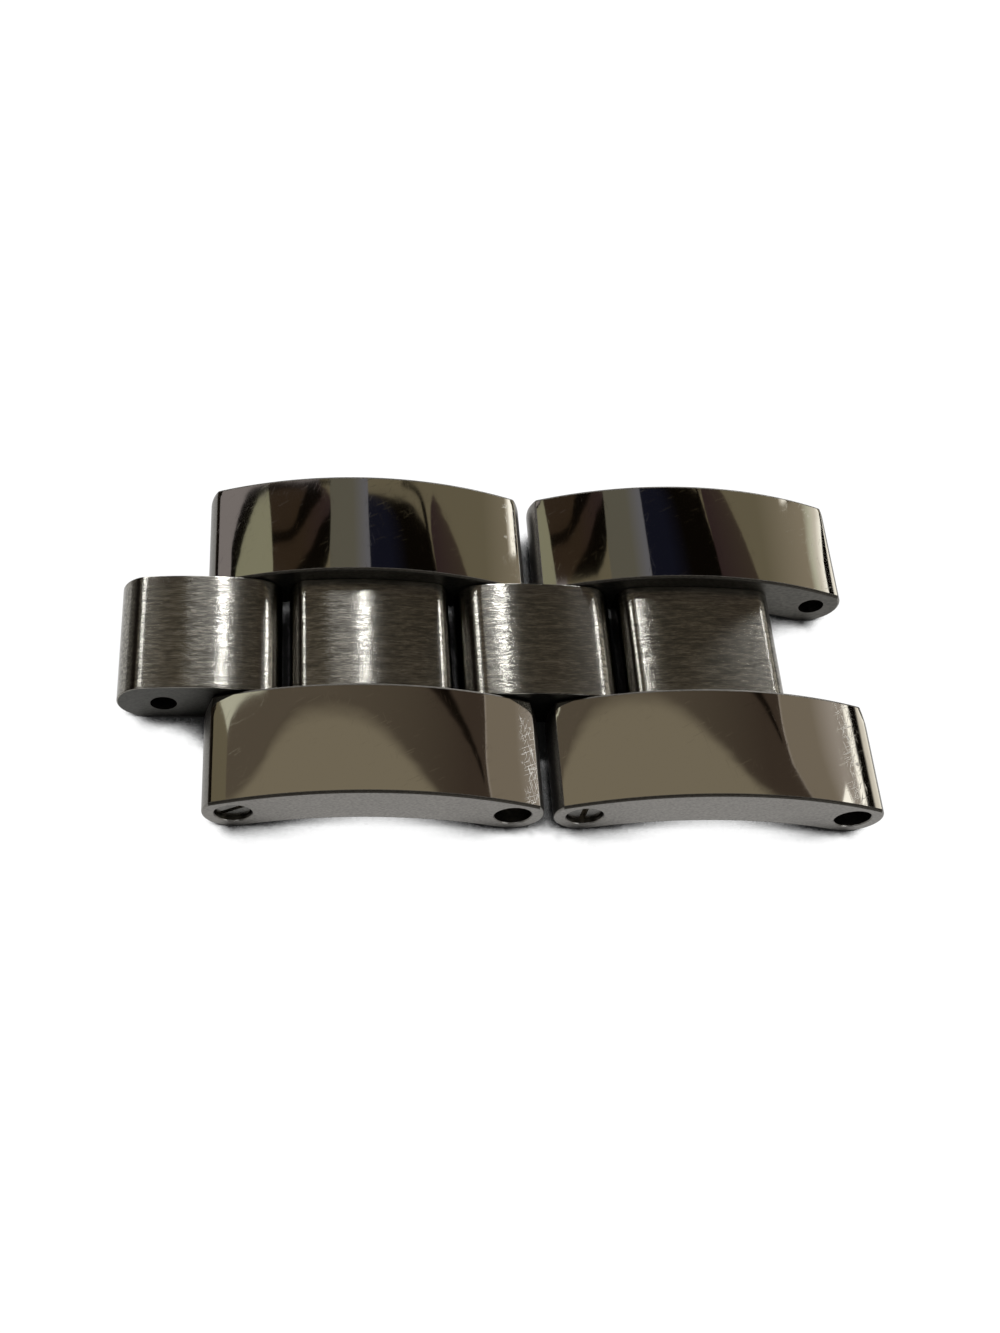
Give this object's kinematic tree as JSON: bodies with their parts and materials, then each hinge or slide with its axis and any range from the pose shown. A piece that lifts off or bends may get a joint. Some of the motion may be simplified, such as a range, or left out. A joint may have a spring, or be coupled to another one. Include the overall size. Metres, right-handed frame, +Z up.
{
  "type": "watch bracelet link",
  "caption": "Straight stretch of a heavy steel watch bracelet: domed polished outer links, brushed centre connectors and slotted screw pivots that let it curl.",
  "frame": {"origin": "middle of the underside of the straight stretch, on the surface that the outer links' ends rest on", "axes": "+X along the bracelet from connector 1 to link B, +Y across it from the front face to the rear face, +Z up, from the wearer's skin to the polished tops"},
  "size_m": [0.046, 0.022, 0.005],
  "materials": {
    "polished_steel": "mirror-polished stainless steel, with satin side faces",
    "brushed_steel": "lengthwise brushed stainless steel",
    "pin_steel": "turned stainless steel"
  },
  "bodies": {
    "link_a": {"front_outer_link_a": "polished_steel", "rear_outer_link_a": "polished_steel", "fixed_centre_link_a": "brushed_steel", "left_cross_pin_a": "pin_steel", "right_cross_pin_a": "pin_steel", "pivot_tube_1": "pin_steel", "pivot_screw_1": "pin_steel", "pivot_tube_2": "pin_steel", "pivot_screw_2": "pin_steel"},
    "connector_1": {"connector_link_1": "brushed_steel"},
    "connector_2": {"connector_link_2": "brushed_steel"},
    "link_b": {"front_outer_link_b": "polished_steel", "rear_outer_link_b": "polished_steel", "fixed_centre_link_b": "brushed_steel", "left_cross_pin_b": "pin_steel", "right_cross_pin_b": "pin_steel", "pivot_tube_3": "pin_steel", "pivot_screw_3": "pin_steel"}
  },
  "joints": [
    {"name": "connector_1_pivot", "type": "hinge", "parent": "link_a", "child": "connector_1", "pos_m": [-0.01593, 0, 0.00185], "axis": [0, -1, 0], "range_deg": [-60, 85]},
    {"name": "connector_2_pivot", "type": "hinge", "parent": "link_a", "child": "connector_2", "pos_m": [0.00047, 0, 0.00185], "axis": [0, 1, 0], "range_deg": [-60, 85]},
    {"name": "link_b_pivot", "type": "hinge", "parent": "connector_2", "child": "link_b", "pos_m": [0.00477, 0, 0.00185], "axis": [0, 1, 0], "range_deg": [-60, 85]}
  ]
}
